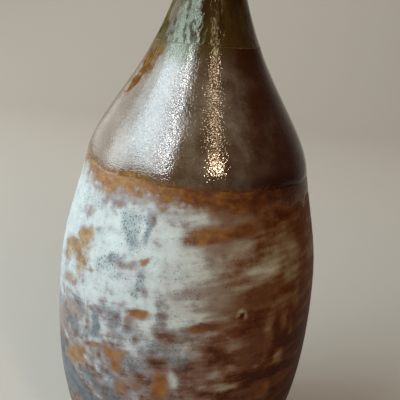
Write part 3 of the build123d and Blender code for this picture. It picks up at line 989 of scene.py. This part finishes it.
def bare_stoneware():
    """Unglazed iron stoneware, turned and fired: dry brown with grog specks and fine turning lines."""
    finish, add, here, drum = new_finish("iron_stoneware_turned_unglazed")
    # Turning lines about 1.2 mm apart
    line = mottle(add, drum, 60, 1.2, 3.0)
    # Scorch marks about 18 mm wide
    scorch = mottle(add, here, 18, 12, 5.0)
    # Grog of about 0.9 mm
    grog = add("TexVoronoi", Vector=here, Scale=1 / (2.6 * MM))
    grog = add("MapRange", grog, 0.14, 0.24, 0.7, 0.0)
    tone = add("Math", line, 0.35, scorch)
    colour = add("ValToRGB", tone, stops=[(0.5, "#4A2C1A"), (0.68, "#6C4528"), (0.85, "#8A6040")])
    colour = add("Mix", grog, colour, "#2E1C12")
    relief = add("Math", grog, 0.6, line)
    rough = add("Math", scorch, 0.2, 0.68)
    bump = add("Bump", Strength=0.5, Distance=0.25 * MM, Height=relief)
    return fired(finish, colour, rough, bump)


def dry_joining_slip():
    """Joining slip fired dry in a seam: paler than the clay, finely grained."""
    finish, add, _, drum = new_finish("joining_slip_fired_dry")
    # Slip grain of about 1 mm, smeared along the seam
    smear = mottle(add, drum, 6, 1, 4.0)
    colour = add("ValToRGB", smear, stops=[(0.35, "#5E402A"), (0.65, "#8A6A4A")])
    rough = add("Math", smear, 0.2, 0.65)
    bump = add("Bump", Strength=0.5, Distance=0.2 * MM, Height=smear)
    return fired(finish, colour, rough, bump)


def poured_liner():
    """Brown liner glaze swilled round the inside and poured out: glossy, with long runs and pinholes."""
    finish, add, _, drum = new_finish("brown_liner_glaze_poured")
    # Runs about 8 mm wide down the wall
    run = mottle(add, drum, 8, 50, 4.0)
    colour = add("ValToRGB", run, stops=[(0.3, "#2C1C0E"), (0.55, "#4A3520"), (0.75, "#5F4A30")])
    rough = add("Math", run, 0.12, 0.1)
    bump = add("Bump", Strength=0.4, Distance=0.3 * MM, Height=run)
    return fired(finish, colour, rough, bump, {"IOR": THIN_GLAZE_IOR})


# The pot

body_slip_coat(brushed_slip())
amber_coat(amber_run())
shoulder_glaze_coat(brown_shoulder_glaze())
neck_glaze_coat(olive_neck_gloss())
neck_seam_bead(stained_seam_slip())

carried_over = {
    bare_stoneware(): ("foot_ring",) + CLAY_WALLS,
    dry_joining_slip(): ("foot_lute", "belly_lute", "shoulder_lute"),
    poured_liner(): ("liner_glaze",),
}
for finish, nodes in carried_over.items():
    for node in nodes:
        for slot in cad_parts[node].material_slots:
            slot.material = finish


# Studio, in metres

POT_MIDDLE = Vector((0, 0, 0.2))
# The window's reflection leans in the photo
WINDOW_TILT = 12


def pale_studio():
    """A pale floor that sweeps up into a backdrop well behind the pot."""
    bpy.ops.object.select_all(action="DESELECT")
    bpy.ops.mesh.primitive_plane_add(size=8)
    floor = bpy.context.object
    floor.name = floor.data.name = "studio_floor"
    bpy.ops.object.mode_set(mode="EDIT")
    bpy.ops.mesh.select_mode(type="EDGE")
    bpy.ops.mesh.select_all(action="DESELECT")
    bpy.ops.object.mode_set(mode="OBJECT")
    for edge in floor.data.edges:
        edge.select = all(floor.data.vertices[v].co.y > 1 for v in edge.vertices)
    bpy.ops.object.mode_set(mode="EDIT")
    bpy.ops.transform.translate(value=(0, -1.6, 0))
    bpy.ops.mesh.extrude_region_move(TRANSFORM_OT_translate={"value": (0, 0, 3)})
    bpy.ops.object.mode_set(mode="OBJECT")
    for edge in floor.data.edges:
        corner = [floor.data.vertices[v].co for v in edge.vertices]
        edge.select = all(co.y > 1 and co.z < 0.1 for co in corner)
    bpy.ops.object.mode_set(mode="EDIT")
    bpy.ops.mesh.bevel(offset=0.9, segments=24)
    bpy.ops.mesh.faces_shade_smooth()
    bpy.ops.object.mode_set(mode="OBJECT")
    paper = bpy.data.materials.new("matt_pale_paper")
    paper.use_nodes = True
    connect(paper.node_tree.nodes["Principled BSDF"], {"Base Color": "#D3CEC6", "Roughness": 0.9})
    floor.data.materials.append(paper)


def softbox(
    name, azimuth, elevation, distance, wide, high, watts, colour, tilt=0, aim=POT_MIDDLE, mirrored=True
):
    """A rectangular lamp, set by its direction from the pot's middle. Azimuth runs like the pot's angles.
    Tilt turns it in its own plane, its top towards lower azimuths. One that isn't mirrored lights the pot
    without a reflection in its gloss, as a very large far one would."""
    lamp = bpy.data.lights.new(name, "AREA")
    lamp.shape = "RECTANGLE"
    lamp.size, lamp.size_y, lamp.energy = wide, high, watts
    lamp.color = linear(colour)[:3]
    holder = bpy.data.objects.new(name, lamp)
    turn, up = math.radians(azimuth), math.radians(elevation)
    way = Vector((math.sin(turn) * math.cos(up), -math.cos(turn) * math.cos(up), math.sin(up)))
    spot = POT_MIDDLE + way * distance
    facing = (spot - Vector(aim)).to_track_quat("Z", "Y").to_matrix().to_4x4()
    holder.matrix_world = Matrix.Translation(spot) @ facing @ Matrix.Rotation(math.radians(tilt), 4, "Z")
    holder.visible_camera = False
    holder.visible_glossy = mirrored
    bpy.context.scene.collection.objects.link(holder)


def photo_camera():
    """The camera a hand's breadth above the shoulder, half a metre away, leaning a little."""
    eye, aim = Vector((0, -0.515, 0.3378)), Vector((0, 0, 0.195))
    lean, turn = math.radians(5.1), math.radians(-0.4966)
    lens = bpy.data.cameras.new("photo_camera")
    lens.sensor_width, lens.lens = 36, 67.5
    lens.clip_start, lens.clip_end = 0.01, 50
    camera = bpy.data.objects.new("photo_camera", lens)
    look = (aim - eye).to_track_quat("-Z", "Y").to_matrix().to_4x4()
    roll = Matrix.Rotation(lean, 4, "Z") @ Matrix.Rotation(turn, 4, "Y")
    camera.matrix_world = Matrix.Translation(eye) @ look @ roll
    bpy.context.scene.collection.objects.link(camera)
    bpy.context.scene.camera = camera


pale_studio()
softbox("window_softbox", -70, 33, 1.5, 2.05, 1.34, 20.3, "#E5F1F5", tilt=WINDOW_TILT)
for pane, azimuth in enumerate((-56, -70, -84)):
    softbox(f"window_pane_{pane + 1}", azimuth, 38, 1.45, 0.14, 0.85, 1.8, "#D6EFF8", tilt=WINDOW_TILT)
softbox("window_edge", -37, 36, 1.45, 0.02, 1.1, 2.6, "#F2F8FF", tilt=WINDOW_TILT)
softbox("left_wall_panel", -116, 12, 1.8, 2.4, 0.9, 8.5, "#F0EFEA")
softbox("front_fill_panel", 10, 40, 1.6, 1.4, 1.0, 1.8, "#FFEEDE", mirrored=False)
softbox("warm_lamp", 21, 28, 1.5, 0.06, 0.24, 2.6, "#FFDEB6")
softbox("warm_lamp_shade", 21, 48, 1.5, 0.03, 0.45, 0.9, "#FFDEB6")
softbox("backdrop_wash", 180, 60, 1.5, 2.4, 0.6, 12, "#FFF6EA", aim=(0, 2.4, 0.3))
room = bpy.data.worlds.new("dim_room")
room.use_nodes = True
connect(room.node_tree.nodes["Background"], {"Color": "#EBD3B4", "Strength": 0.06})
bpy.context.scene.world = room
bpy.context.scene.view_settings.view_transform = "Standard"
photo_camera()
